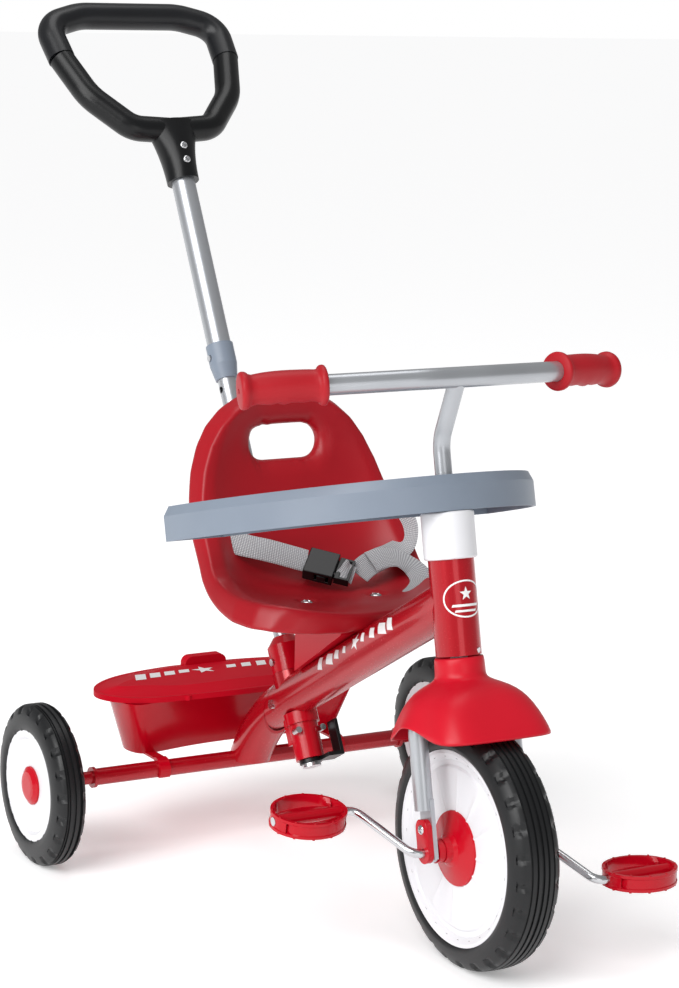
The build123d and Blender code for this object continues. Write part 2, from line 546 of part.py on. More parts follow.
for side, name in ((-1, "front"), (1, "rear")):
    y_low, y_high = sorted((side * 5.5, side * 10.6))
    nub_low, nub_high = sorted((side * 10.4, side * 17.6))
    prong = block(BUCKLE, (-14.8, y_low, -2.8), (6, y_high, 2.8))
    prong += block(BUCKLE, (-7.5, nub_low, -2.8), (1.5, nub_high, 2.8))
    keep(f"buckle_prong_{name}", prong)

# ---- storage bin ---------------------------------------------------------------------------------
BIN_LOW = 91.0
BIN_HIGH = 148.0
BIN_HALF = 137.0


def bin_outline(inset):
    """Plan of the bin: a front wall hollowed to clear the frame, and a round back."""
    middle = 61
    across = (BIN_HALF - inset) / BIN_HALF
    along = (57 - inset) / 57
    plan = [(0, 23), (60, 19), (108, 8), (128, 9), (136, 26), (134, 60), (106, 94), (60, 112), (0, 118)]
    points = [(x * across, middle + (y - middle) * along) for x, y in plan]
    right = Spline(*points, tangents=[(1, 0), (-1, 0)])
    return make_face([*right.edges(), *mirror(right, Plane.YZ).edges()])


bin_body = loft([Pos(0, 0, BIN_LOW) * bin_outline(18), Pos(0, 0, BIN_HIGH) * bin_outline(0)], ruled=True)
inside = [Pos(0, 0, BIN_LOW + 2.6) * bin_outline(20.6), Pos(0, 0, BIN_HIGH + 1) * bin_outline(2.5)]
for side in (-1, 1):
    x_low, x_high = sorted((side * 96, side * 108))
    clip = axle_rod(REAR_HUB, BEAM_RADIUS + 3.4, x_low, x_high, BEAM_RADIUS + 0.05)
    clip &= block(GROUND, (-200, -20, 74), (200, 3, 100))
    clip += block(GROUND, (x_low, -4, 89.8), (x_high, 40, BIN_LOW + 1))
    bin_body += clip
HINGE_Y = 124.5
HINGE_Z = 146.0
for x in (-18, 18):
    knuckle = Pos(x, 0, 0) * axle_rod((HINGE_Y, HINGE_Z), 3.6, -7, 7)
    knuckle += block(GROUND, (x - 7, 112, HINGE_Z - 3.6), (x + 7, HINGE_Y, HINGE_Z + 0.5))
    bin_body += knuckle - axle_rod((HINGE_Y, HINGE_Z), 1.8, -30, 30)
bin_body -= loft(inside, ruled=True)
keep("storage_bin", max(bin_body.solids(), key=lambda solid: solid.volume))
keep("hinge_pin", axle_rod((HINGE_Y, HINGE_Z), 1.8, -27, 27))


def lid_outline(grow):
    points = [
        (0, 1 - grow), (80, 4 - grow), (130 + grow, 16 - grow), (151 + grow, 46), (118 + grow, 96 + grow),
        (60, 115 + grow), (0, 119 + grow),
    ]
    right = Spline(*points, tangents=[(1, 0), (-1, 0)])
    left = mirror(right, Plane.YZ)
    return make_face([*right.edges(), *left.edges()])


lid = extrude(Pos(0, 0, BIN_HIGH + FREE_GAP) * lid_outline(0), 5.6)
crown = BIN_HIGH + FREE_GAP + 5.6
lid += loft([Pos(0, 0, crown) * lid_outline(-4), Pos(0, 0, crown + 5) * lid_outline(-24)], ruled=True)
lid -= extrude(Pos(0, 0, BIN_HIGH) * lid_outline(-7), 3.4)
hump = Pos(0, 108, 156) * Box(48, 12, 20)
lid += fillet(hump.edges().filter_by(Axis.Y), 8)
lid -= block(GROUND, (-28, 118.4, 140), (28, 140, 160))
for x in (-5.5, 5.5):
    knuckle = Pos(x, 0, 0) * axle_rod((HINGE_Y, HINGE_Z), 3.6, -5, 5)
    knuckle += block(GROUND, (x - 5, 114, HINGE_Z + 3.0), (x + 5, HINGE_Y + 3, HINGE_Z + 6.5))
    lid += knuckle - axle_rod((HINGE_Y, HINGE_Z), 1.8 + RUNNING_GAP, -30, 30)
lid += Pos(-70, 4, 151) * Cylinder(3.2, 5)
lid += Pos(70, 4, 151) * Cylinder(3.2, 5)
keep("bin_lid", max(lid.solids(), key=lambda solid: solid.volume))

# ---- tray ----------------------------------------------------------------------------------------
TRAY_TILT = radians(14.4)
TRAY = Plane((0, -366.5, 406.3), x_dir=(1, 0, 0), z_dir=(0, sin(TRAY_TILT), cos(TRAY_TILT)))
TRAY_HALF = 179.0
TRAY_REACH = 211.0  # from the stem back to the ends of the tray's arms
TRAY_FRONT = 25.0
TRAY_HEIGHT = 33.0


def tray_outline(inset):
    """Plan of the tray: half an ellipse round the rider, with a round bay for the rider's middle."""
    outer = Pos(0, TRAY_REACH) * Ellipse(TRAY_HALF - inset, TRAY_REACH + TRAY_FRONT - inset)
    bay = Pos(0, TRAY_REACH) * Ellipse(118 + inset, 124 + inset)
    keep_side = Pos(0, TRAY_REACH - 150 - inset) * Rectangle(400, 300)
    return (outer - bay) & keep_side


tray = extrude(tray_outline(0), TRAY_HEIGHT - 9)
sloped_edge = [Pos(0, 0, TRAY_HEIGHT - 9) * tray_outline(0), Pos(0, 0, TRAY_HEIGHT) * tray_outline(4)]
tray += loft(sloped_edge, ruled=True)
tray -= extrude(Pos(0, 0, -1) * tray_outline(3), TRAY_HEIGHT - 6)
tray -= extrude(Pos(0, 0, TRAY_HEIGHT - 5) * tray_outline(10), 10)
tray = TRAY.location * tray
tray += rod(STEER, 21, CAP_TOP + 0.05, CAP_TOP + 24)
tray -= rod(STEER, STEM_RADIUS + 1.5, CAP_TOP - 10, CAP_TOP + 60)
tray -= rod(STEER, 24.8, CAP_TOP - 30, CAP_TOP)
keep("tray", max(tray.solids(), key=lambda solid: solid.volume))

for name, solid in built.items():
    export_step(solid, f"parts/{name}.step")
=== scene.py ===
# %% [markdown]
# Children's tricycle: what Blender adds to the CAD frame
# The CAD model already holds every tube, wheel, hinge and screw in its true place, in metres.
# Here each piece gets the look of its real finish, and the soft or richly shaped pieces are modelled again:
# the treaded tyres, the moulded seat, the mudguard, the grips, the pedals and the woven belt.
# The tricycle rides towards -Y, +Z is up, and the rider's left hand is on +X.

# %% Load the frame
import bmesh
import bpy
import json
from math import atan2, cos, exp, pi, radians, sin, sqrt
from mathutils import Matrix, Vector

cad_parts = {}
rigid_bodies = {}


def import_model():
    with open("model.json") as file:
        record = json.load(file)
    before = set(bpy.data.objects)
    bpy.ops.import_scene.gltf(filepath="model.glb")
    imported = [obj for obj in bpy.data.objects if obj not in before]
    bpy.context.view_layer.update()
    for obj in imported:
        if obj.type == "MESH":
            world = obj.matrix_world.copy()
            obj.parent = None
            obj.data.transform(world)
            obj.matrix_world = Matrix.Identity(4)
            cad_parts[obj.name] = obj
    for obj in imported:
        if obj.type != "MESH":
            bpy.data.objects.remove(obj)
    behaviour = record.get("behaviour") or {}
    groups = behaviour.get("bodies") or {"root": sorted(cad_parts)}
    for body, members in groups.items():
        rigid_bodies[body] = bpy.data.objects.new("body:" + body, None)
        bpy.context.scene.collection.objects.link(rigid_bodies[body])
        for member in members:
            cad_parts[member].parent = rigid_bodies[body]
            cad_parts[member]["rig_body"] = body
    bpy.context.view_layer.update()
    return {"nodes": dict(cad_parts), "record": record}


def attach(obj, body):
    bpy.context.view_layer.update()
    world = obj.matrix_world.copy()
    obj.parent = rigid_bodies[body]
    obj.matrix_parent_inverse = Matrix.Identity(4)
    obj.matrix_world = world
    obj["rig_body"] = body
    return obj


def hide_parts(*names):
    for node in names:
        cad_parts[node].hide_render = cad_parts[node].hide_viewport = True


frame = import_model()
MM = 0.001

# %% [markdown]
# The camera stands in front, on the rider's right, a little above the handlebar, and is rolled by a degree
# or so. Its place is worked out from two angles and a distance, because those are what is set on a tripod.

# %% Camera
AZIMUTH, ELEVATION, ROLL = radians(-29.82), radians(10.69), radians(1.43)
DISTANCE = 2.6418
LOOK_AT = Vector((-0.022, -0.2126, 0.3972))
LENS = 101.7

camera_data = bpy.data.cameras.new("camera")
camera_data.lens = LENS
camera_data.sensor_width = 36
camera_data.clip_start, camera_data.clip_end = 0.05, 60
camera = bpy.data.objects.new("camera", camera_data)
bpy.context.scene.collection.objects.link(camera)
bpy.context.scene.camera = camera
back = Vector((sin(AZIMUTH) * cos(ELEVATION), -cos(AZIMUTH) * cos(ELEVATION), sin(ELEVATION)))
camera.location = LOOK_AT + back * DISTANCE
camera.rotation_mode = "QUATERNION"
camera.rotation_quaternion = (-back).to_track_quat("-Z", "Y") @ Matrix.Rotation(ROLL, 3, "Z").to_quaternion()
print("camera at", [round(c, 3) for c in camera.location])

# %% [markdown]
# Studio light is soft: a pale surround fills every side, a broad sun and one wide panel on the rider's
# right give the long highlights on the tubes, and weaker panels in front and above keep the darker sides
# readable. The floor glows a little, as a lit sweep of backdrop paper does, so that it meets the surround
# without a dark band.

# %% Floor, surround and lamps
def add(tree, kind, values=None, links=None, **attributes):
    """Add one shader node with its attributes, input values and incoming links."""
    made = tree.nodes.new("ShaderNode" + kind)
    for key, value in attributes.items():
        setattr(made, key, value)
    for key, value in (values or {}).items():
        made.inputs[key].default_value = value
    for key, socket in (links or {}).items():
        tree.links.new(socket, made.inputs[key])
    return made


def linear(code):
    """An sRGB hex colour as the linear values that Blender works in."""
    parts = [int(code[at:at + 2], 16) / 255 for at in (1, 3, 5)]
    return [c / 12.92 if c <= 0.04045 else ((c + 0.055) / 1.055) ** 2.4 for c in parts] + [1.0]


# how strongly the surround lights the tricycle, and how bright it looks itself
SURROUND, BACKDROP = 0.33, 1.0
surround = bpy.data.worlds.new("studio")
bpy.context.scene.world = surround
surround.use_nodes = True
sky = surround.node_tree.nodes["Background"]
sky.inputs["Color"].default_value = linear("#FFFFFF")
seen = add(surround.node_tree, "LightPath").outputs["Is Camera Ray"]
level = add(surround.node_tree, "MapRange", {"To Min": SURROUND, "To Max": BACKDROP}, {"Value": seen})
surround.node_tree.links.new(level.outputs["Result"], sky.inputs["Strength"])
bpy.context.scene.view_settings.view_transform = "Standard"


def lamp(name, place, aim, size, power):
    """A square soft panel that looks at a point."""
    data = bpy.data.lights.new(name, "AREA")
    data.size, data.energy = size, power
    panel = bpy.data.objects.new(name, data)
    bpy.context.scene.collection.objects.link(panel)
    panel.location = place
    panel.rotation_mode = "QUATERNION"
    panel.rotation_quaternion = (Vector(aim) - Vector(place)).to_track_quat("-Z", "Y")


sun_data = bpy.data.lights.new("window_light", "SUN")
sun_data.energy, sun_data.angle = 1.7, radians(40)
sun = bpy.data.objects.new("window_light", sun_data)
bpy.context.scene.collection.objects.link(sun)
sun.rotation_euler = (radians(22), radians(-42), 0)
lamp("key_panel", (-3.0, -1.0, 1.5), (0, -0.2, 0.4), 1.5, 36)
lamp("front_panel", (-0.6, -3.2, 0.8), (0, -0.3, 0.2), 1.3, 7)
lamp("top_panel", (0.2, 0.4, 3.0), (0, -0.1, 0.2), 1.4, 16)

# %% [markdown]
# Every finish starts from what the real surface is and how it was made. One function lays fine noise over
# the base colour, the roughness and the height, because no moulded or painted surface is perfectly even.

# %% One function for moulded, painted and metal surfaces
def surface(name, light, dark, rough, grain_mm, bump_mm, **shader):
    """A finish whose colour, roughness and height vary with a grain of that size; rough is (low, high)."""
    made = bpy.data.materials.new(name)
    made.use_nodes = True
    tree = made.node_tree
    base = tree.nodes["Principled BSDF"]
    place = add(tree, "TexCoord").outputs["Object"]
    grain = add(tree, "TexNoise", {"Scale": 1 / (grain_mm * MM), "Detail": 4.0}, {"Vector": place})
    cloud = add(tree, "TexNoise", {"Scale": 18.0, "Detail": 2.0}, {"Vector": place})
    tint = add(tree, "Mix", {6: linear(light), 7: linear(dark)}, {0: cloud.outputs["Fac"]}, data_type="RGBA")
    gloss = add(tree, "MapRange", {"To Min": rough[0], "To Max": rough[1]}, {"Value": grain.outputs["Fac"]})
    relief = add(tree, "Bump", {"Strength": 0.35, "Distance": bump_mm * MM}, {"Height": grain.outputs["Fac"]})
    tree.links.new(tint.outputs[2], base.inputs["Base Color"])
    tree.links.new(gloss.outputs["Result"], base.inputs["Roughness"])
    tree.links.new(relief.outputs["Normal"], base.inputs["Normal"])
    for key, value in shader.items():
        base.inputs[key.replace("_", " ")].default_value = value
    return made


floor_paper = surface("backdrop_paper", "#FDFDFD", "#FBFBFC", (0.8, 0.9), 3, 0.01, Specular_IOR_Level=0.0,
                      Emission_Color=linear("#FFFFFF"), Emission_Strength=0.27)
bm = bmesh.new()
bmesh.ops.create_grid(bm, x_segments=1, y_segments=1, size=30)
floor_mesh = bpy.data.meshes.new("floor")
bm.to_mesh(floor_mesh)
bm.free()
floor_mesh.materials.append(floor_paper)
floor = bpy.data.objects.new("floor", floor_mesh)
bpy.context.scene.collection.objects.link(floor)

# %% [markdown]
# The tubes are steel with a deep red candy enamel, which is glossy under a clear coat. The mouldings are
# polypropylene, dyed right through; the seat's red is painted darker than the rest as painted shade, and the
# bin lid is duller than the rest. The wheels' discs are the same plastic in white. The tyres are blown EVA
# foam rubber. Handlebar, stem, fork and push tube wear a silver metallic paint.

# %% The finishes
FINISH = {
    "red_enamel": surface("stoved_candy_enamel", "#B5061A", "#A00416", (0.22, 0.30), 1.5, 0.01,
                          Metallic=0.25, Specular_IOR_Level=0.35, Coat_Weight=0.45, Coat_Roughness=0.06),
    "red_plastic": surface("moulded_polypropylene_red", "#CE1228", "#C00E22", (0.30, 0.40), 0.8, 0.03,
                           IOR=1.49, Specular_IOR_Level=0.30),
    # the seat is the same polypropylene as the other mouldings; its darker red is painted shade for its
    # recessed place under the tray and handlebar
    "red_seat": surface("polypropylene_red_darkened_as_painted_shade", "#A80D1C", "#9B0A18", (0.30, 0.40), 0.8, 0.03,
                        IOR=1.51, Specular_IOR_Level=0.35),
    "red_gloss": surface("polished_mould_polypropylene_red", "#BE041C", "#B00318", (0.16, 0.24), 1.2, 0.02,
                         IOR=1.49, Specular_IOR_Level=0.28, Coat_Weight=0.08, Coat_Roughness=0.08),
    "red_satin": surface("fine_grained_polypropylene_red", "#C20A22", "#B0061C", (0.45, 0.55), 0.8, 0.03,
                         IOR=1.49, Specular_IOR_Level=0.07),
    "red_grip": surface("dip_moulded_vinyl_red", "#B0101E", "#A20C19", (0.42, 0.55), 0.7, 0.04, IOR=1.53,
                        Specular_IOR_Level=0.3),
    "silver_paint": surface("silver_metallic_paint", "#B9BCC0", "#ABAEB3", (0.28, 0.36), 0.5, 0.01,
                            Metallic=0.7, Coat_Weight=0.4, Coat_Roughness=0.12),
    "bright_steel": surface("zinc_plated_steel", "#D5D6D8", "#BEBFC2", (0.18, 0.30), 0.8, 0.01, Metallic=1.0),
    "white_plastic": surface("moulded_polypropylene_white", "#E4E4E7", "#DDDDE1", (0.25, 0.36), 0.9, 0.02,
                             IOR=1.49),
    "black_rubber": surface("blown_eva_tyre", "#131416", "#0B0C0E", (0.34, 0.48), 0.9, 0.08, IOR=1.5,
                            Specular_IOR_Level=0.42),
    "black_plastic": surface("moulded_acetal_black", "#0F1012", "#08090A", (0.26, 0.36), 0.7, 0.02, IOR=1.48,
                             Specular_IOR_Level=0.35),
    "black_foam": surface("satin_moulded_grip_black", "#17181B", "#0F1013", (0.30, 0.40), 0.6, 0.04, IOR=1.5,
                          Specular_IOR_Level=0.4),
    "grey_plastic": surface("moulded_polypropylene_grey", "#828D9B", "#798391", (0.34, 0.46), 0.8, 0.03,
                            IOR=1.49),
}
SATIN_RED = {"bin_lid"}
GLOSSY_RED = {"storage_bin", "pedal_left", "pedal_right", "column_socket", "steering_housing",
              "front_hub_left", "front_hub_right", "rear_cap_left", "rear_cap_right", "dropout_brackets"}
slot_of = {part["node"]: part["material_slot"] for part in frame["record"]["subparts"]}


def finish_of(node):
    """The finish of a CAD node, from its slot in the record."""
    if node in SATIN_RED:
        return FINISH["red_satin"]
    if node in GLOSSY_RED:
        return FINISH["red_gloss"]
    return FINISH.get(slot_of[node], FINISH["grey_plastic"])


for node, shown in frame["nodes"].items():
    shown.data.materials.clear()
    shown.data.materials.append(finish_of(node))
print("finishes:", len(FINISH))

# %% [markdown]
# New pieces are drawn in millimetres about a simple centre, such as a wheel's hub, and then carried to
# their place on the tricycle by one matrix, which also turns millimetres into metres. That keeps every size
# readable.

# %% Frames to draw in, and one way to finish a mesh
def plane(origin_mm, normal, across=(1, 0, 0)):
    """A matrix from millimetres in a plane's own axes to metres on the tricycle; z is the normal."""
    z = Vector(normal).normalized()
    x = Vector(across)
    x = (x - z * x.dot(z)).normalized()
    y = z.cross(x)
    turn = Matrix((x, y, z)).transposed().to_4x4()
    return Matrix.Translation(Vector(origin_mm) * MM) @ turn @ Matrix.Scale(MM, 4)


MERGE_WITHIN = 0.000005   # metres between points that are one point
LEAN, SLOPE = radians(12.5), radians(28.8)
FRONT_HUB, REAR_HUB_UP = (0, -435, 112.5), 81.0
KNUCKLE = (0, -97.6, 170.4)
STEER = plane(FRONT_HUB, (0, sin(LEAN), cos(LEAN)))
MAIN = plane(KNUCKLE, (0, -cos(SLOPE), sin(SLOPE)))
PUSH = plane(KNUCKLE, (0, sin(SLOPE), cos(SLOPE)))


def finish_piece(name, bm, place, finish, body, replaced=(), sharp=35, rounding=0.0,
                 levels=0, wall=0.0):
    """Carry a mesh to its place, give it its finish, and let it ride on its body."""
    bmesh.ops.transform(bm, matrix=place, verts=bm.verts)
    bmesh.ops.remove_doubles(bm, verts=bm.verts, dist=MERGE_WITHIN)
    bmesh.ops.recalc_face_normals(bm, faces=bm.faces)
    mesh = bpy.data.meshes.new(name)
    bm.to_mesh(mesh)
    bm.free()
    mesh.polygons.foreach_set("use_smooth", [True] * len(mesh.polygons))
    if not levels:
        mesh.set_sharp_from_angle(angle=radians(sharp))
    mesh.materials.append(finish)
    made = bpy.data.objects.new(name, mesh)
    bpy.context.scene.collection.objects.link(made)
    if wall:
        shell = made.modifiers.new("wall", "SOLIDIFY")
        shell.thickness, shell.offset = wall * MM, -1
    if rounding:
        edge = made.modifiers.new("rounding", "BEVEL")
        edge.width, edge.segments = rounding * MM, 2
        edge.limit_method, edge.angle_limit = "ANGLE", radians(40)
    if levels:
        smooth = made.modifiers.new("smoothing", "SUBSURF")
        smooth.levels = smooth.render_levels = levels
    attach(made, body)
    if replaced:
        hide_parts(*replaced)
    print(name, "faces:", len(mesh.polygons))
    return made


def spun(points, steps):
    """A mesh turned from (across, radius) points about the X axis."""
    bm = bmesh.new()
    ring = [bm.verts.new((x, 0, r)) for x, r in points]
    edges = [bm.edges.new(pair) for pair in zip(ring, ring[1:])]
    bmesh.ops.spin(bm, geom=ring + edges, cent=(0, 0, 0), axis=(1, 0, 0), angle=2 * pi, steps=steps,
                   use_merge=True)
    bmesh.ops.remove_doubles(bm, verts=bm.verts, dist=0.001)
    return bm


def both_sides(half):
    """A profile and its mirror image across the middle, as one run of points."""
    return [(-x, r) for x, r in reversed(half) if x > 0.01] + list(half)


# %% [markdown]
# A tyre of this kind is foamed in a mould: fine grooves run round the middle of the tread, and short
# notches are cut into both shoulders. The section is spun once round the axle. The notches are then pressed
# in by moving the shoulder's points, which keeps one clean skin and no separate blocks.

# %% Tyres with grooves and notched shoulders
def tyre(name, hub, body, radius, width, rim, notches, node):
    half, steps = width / 2, 8
    r = radius
    half_section = [
        (0, r - 1.6), (1.1, r - 1.6), (1.5, r), (4.6, r), (5.0, r - 1.5), (6.4, r - 1.5), (6.9, r - 0.1),
        (0.42 * half, r - 0.4), (0.44 * half, r - 1.7), (0.49 * half, r - 1.8), (0.51 * half, r - 0.8),
        (0.64 * half, r - 1.9), (0.70 * half, r - 2.8), (0.79 * half, r - 5.0), (0.86 * half, r - 8.0),
        (0.90 * half, r - 9.6), (0.96 * half, r - 13.5), (half, r - 18), (half, rim + 3),
        (half - 1.2, rim + 0.5), (half - 2.9, rim - 0.5), (half - 3.0, rim - 4), (0, rim - 4),
    ]
    bm = spun(both_sides(half_section), notches * steps)
    low, high = 0.60 * half, 0.88 * half
    for v in bm.verts:
        turn = atan2(v.co.y, v.co.z) / (2 * pi) * notches * steps
        if low < abs(v.co.x) < high and round(turn) % steps in (0, 1):
            reach = sqrt(v.co.y ** 2 + v.co.z ** 2)
            for axis in (1, 2):
                v.co[axis] *= (reach - 2.6) / reach
            v.co.x *= 0.985
    return finish_piece(name, bm, plane(hub, (0, 0, 1)), FINISH["black_rubber"], body,
                        (node,), 28)


FRONT_TYRE = (112.5, 49.6, 89.6)   # radius, width and rim radius
REAR_TYRE = (81, 33.4, 55.4)
FRONT_NOTCHES, REAR_NOTCHES = 27, 21
REAR_TYRE_OUT = 233   # middle of a rear tyre, from the mid plane
tyre("front_tyre_tread", FRONT_HUB, "front_wheel", *FRONT_TYRE, FRONT_NOTCHES, "front_tyre")
for side, hand in ((-1, "right"), (1, "left")):
    tyre(f"rear_tyre_tread_{hand}", (REAR_TYRE_OUT * side, 0, REAR_HUB_UP), f"{hand}_rear_wheel", *REAR_TYRE,
         REAR_NOTCHES, f"rear_tyre_{hand}")

# %% [markdown]
# The front wheel's white discs are moulded with a rolled lip, a shallow step and thin radial ribs. A spun
# section gives the dish, and every tenth meridian is lifted a little for the ribs.

# %% Wheel discs with ribs
def disc(name, hub, side, body, half, rim, bore, ribs, node):
    face = half - 4.5
    section = [
        (2, rim - 4.2), (half - 2.8, rim - 4.2), (half - 2.6, rim), (half - 1.6, rim - 0.3),
        (half - 1.5, rim - 3.4),
        (half - 2.6, rim - 5.0), (face + 0.2, rim - 8), (face - 1.6, rim - 9.4), (face - 1.8, rim - 14),
        (face - 0.4, rim - 16), (face, rim - 19), (face, bore + 0.42 * (rim - bore)),
        (face, bore + 0.16 * (rim - bore)),
        (face - 0.5, bore + 3), (face - 0.6, bore), (2, bore),
    ]
    bm = spun([(x * side, r) for x, r in section], ribs * 10)
    for v in bm.verts:
        reach = sqrt(v.co.y ** 2 + v.co.z ** 2)
        turn = round(atan2(v.co.y, v.co.z) / (2 * pi) * ribs * 10) % 10
        if turn == 0 and bore + 5 < reach < rim - 17 and abs(v.co.x) > face - 1:
            v.co.x += side * 0.9
    return finish_piece(name, bm, plane(hub, (0, 0, 1)), FINISH["white_plastic"], body,
                        (node,), 20)


for side, hand in ((-1, "right"), (1, "left")):
    disc(f"front_disc_{hand}", FRONT_HUB, side, "front_wheel", 24.8, 89.6, 6.0, 12, f"front_rim_{hand}_half")

# %% [markdown]
# The mudguard is one polypropylene shell: a round collar that hugs the steering tube opens into a shoulder
# and a four-sided skirt, with a bulge over each fork leg. Rounded rings are bridged from the collar down,
# the skirt's lower edge is lifted where a leg comes out, and Solidify gives the shell its wall.

# %% Mudguard
def rounded_ring(bm, half_x, half_y, corner, centre_y, height, count=64):
    """A ring with straight sides and round corners, its points evenly turned about the middle."""
    made = bmesh.ops.create_circle(bm, segments=count, radius=1)
    for v in made["verts"]:
        ux, uy = v.co.x, v.co.y
        power = 2 + 5 * (1 - corner / min(half_x, half_y))
        reach = (abs(ux) ** power + abs(uy) ** power) ** (-1 / power)
        v.co = (half_x * ux * reach, centre_y + half_y * uy * reach, height)
    return [e for v in made["verts"] for e in v.link_edges]


bm = bmesh.new()
stations = [
    (23.0, 23.0, 23.0, 0, 171.4), (23.0, 23.0, 23.0, 0, 156), (23.6, 23.6, 23.6, 0, 151.5),
    (27.5, 29.0, 26.0, -1, 148.5),
    (37.5, 37.5, 30.0, -4, 143.5), (46.0, 43.5, 30.0, -6, 136.0), (52.0, 49.0, 28.0, -7, 126),
    (57.5, 56.0, 27.0, -8, 111),
    (61.0, 62.0, 26.0, -8, 97),
]
rings = [rounded_ring(bm, *station) for station in stations]
for upper, lower in zip(rings, rings[1:]):
    bmesh.ops.bridge_loops(bm, edges=list(set(upper)) + list(set(lower)))
for v in bm.verts:
    side_share = min(1.0, abs(v.co.x) / 45)
    low_share = max(0.0, min(1.0, (132 - v.co.z) / 35))
    leg = exp(-(v.co.y / 17) ** 2) * side_share ** 4
    v.co.x *= 1 + 0.085 * leg * max(0.0, min(1.0, (150 - v.co.z) / 14))
    v.co.z += 17 * low_share ** 2 * exp(-((v.co.y + 2) / 30) ** 2) * side_share ** 6
    front = max(0.0, -v.co.y - 30) / 40
    v.co.y -= 3.0 * low_share * front * (1 - abs(v.co.x) / 62)
finish_piece("mudguard_shell", bm, STEER, FINISH["red_plastic"], "fork", ("fender",),
             levels=1, wall=2.4)

# %% [markdown]
# The seat is one thick polypropylene moulding. Its pan and back flow into each other like a scoop, and its
# whole edge is turned down and back as a deep rim, which is what makes such a seat stiff. A flat grid is
# laid along the side profile: the middle follows the profile, the sides rise towards the rider, and the
# outermost rings of squares turn away as the rim.

# %% Seat: the side profile as a run of lengths
def smooth_step(value, low, high):
    """0 below low, 1 above high, and a smooth turn between them."""
    share = max(0.0, min(1.0, (value - low) / (high - low)))
    return share * share * (3 - 2 * share)


def between(value, table):
    """A value read from (place, size) pairs, in a straight line from pair to pair."""
    for (low, first), (high, second) in zip(table, table[1:]):
        if value <= high:
            share = max(0.0, (value - low) / (high - low))
            return first + (second - first) * share
    return table[-1][1]


PROFILE = [(-252, 283), (-236, 288), (-205, 287), (-170, 285), (-142, 285), (-121, 291), (-104, 307),
           (-90, 329), (-79, 356),
           (-70, 386), (-62, 416), (-57, 446), (-54, 474)]
lengths = [0.0]
for (y0, z0), (y1, z1) in zip(PROFILE, PROFILE[1:]):
    lengths.append(lengths[-1] + sqrt((y1 - y0) ** 2 + (z1 - z0) ** 2))
SEAT_LENGTH = lengths[-1]


def seat_line(length):
    """The point at that length along the profile, smoothed by averaging close places on it."""
    total = Vector((0, 0))
    for shift in (-14, -7, 0, 7, 14):
        here = max(0.0, min(SEAT_LENGTH, length + shift))
        total += Vector((between(here, [(s, p[0]) for s, p in zip(lengths, PROFILE)]),
                         between(here, [(s, p[1]) for s, p in zip(lengths, PROFILE)])))
    spare = max(0.0, 14 - length, length - SEAT_LENGTH + 14)
    edge = PROFILE[0] if length < SEAT_LENGTH / 2 else PROFILE[-1]
    return (total / 5).lerp(Vector(edge), min(1.0, spare / 14) ** 2 * 0.6)


# %% Seat: the half width along the same lengths, and the moulded surface
WIDTHS = [(0, 0), (2, 34), (6, 60), (14, 84), (26, 101), (46, 112), (75, 117), (150, 117), (205, 113),
          (245, 106),
          (275, 99), (300, 90), (320, 79), (336, 64), (347, 47), (354, 28), (357, 0)]
scale = SEAT_LENGTH / WIDTHS[-1][0]
WIDTHS = [(place * scale, size) for place, size in WIDTHS]
ROWS, RIM_ROWS = 72, 5   # the grid's squares each way, and how many rings of them make the rim
# where the rim starts, as a share of the grid, and as a share of the seat's width
RIM_SHARE, RIM_REACH = 1 - 2 * RIM_ROWS / ROWS, 0.962
SLOT_MIDDLE, SLOT_HALF, SLOT_ROUND = 421.0, 22.0, 20.0
bm = bmesh.new()
bmesh.ops.create_grid(bm, x_segments=ROWS, y_segments=ROWS, size=1)
crease = bm.edges.layers.float.new("crease_edge")
for e in bm.edges:
    if all(abs(max(abs(v.co.x), abs(v.co.y)) - RIM_SHARE) < 0.01 for v in e.verts):
        e[crease] = 0.62
for v in bm.verts:
    rim = max(abs(v.co.x), abs(v.co.y))
    across, along = v.co.xy * rim / max(1e-6, v.co.xy.length)
    turned = max(0.0, (rim - RIM_SHARE) / (1 - RIM_SHARE))
    stretch = RIM_REACH / RIM_SHARE if rim < RIM_SHARE else (RIM_REACH + (1 - RIM_REACH) * turned) / rim
    across, along = across * stretch, along * stretch
    share = across / sqrt(max(1e-6, 1 - along ** 2)) if abs(along) < 0.9999 else 0.0
    length = SEAT_LENGTH * (0.5 + 0.5 * along)
    width = between(length, WIDTHS)
    here = seat_line(length)
    run = (seat_line(min(SEAT_LENGTH, length + 4)) - seat_line(max(0.0, length - 4))).normalized()
    inward = Vector((-run.y, run.x))
    bend = exp(-((length - 0.47 * SEAT_LENGTH) / 62) ** 2)
    scoop = (7 + 16 * bend) * min(1.0, abs(share) / RIM_SHARE) ** 3.2
    place = here + inward * (scoop - (21 - 6 * bend) * turned ** 1.15)
    v.co = (width * share, place.x, place.y)
print("seat profile length:", round(SEAT_LENGTH), "mm")

# %% Seat: the hand slot, opened in the grid and rounded
def slot_gap(point):
    """How far a point lies outside the slot's outline, in mm; less than nothing inside it."""
    x = max(0.0, abs(point.x) - SLOT_HALF)
    return sqrt(x * x + (point.z - SLOT_MIDDLE) ** 2) - SLOT_ROUND


def outline(share):
    """The slot's outline as (across, up); share runs from 0 to 1 round it."""
    straight, curve = 2 * SLOT_HALF, pi * SLOT_ROUND
    gone = (share % 1) * 2 * (straight + curve)
    flip = -1 if gone >= straight + curve else 1
    gone -= straight + curve if flip < 0 else 0
    if gone < straight:
        return flip * (SLOT_HALF - gone), SLOT_MIDDLE + flip * SLOT_ROUND
    turn = pi / 2 + (gone - straight) / SLOT_ROUND
    return flip * (SLOT_ROUND * cos(turn) - SLOT_HALF), SLOT_MIDDLE + flip * SLOT_ROUND * sin(turn)


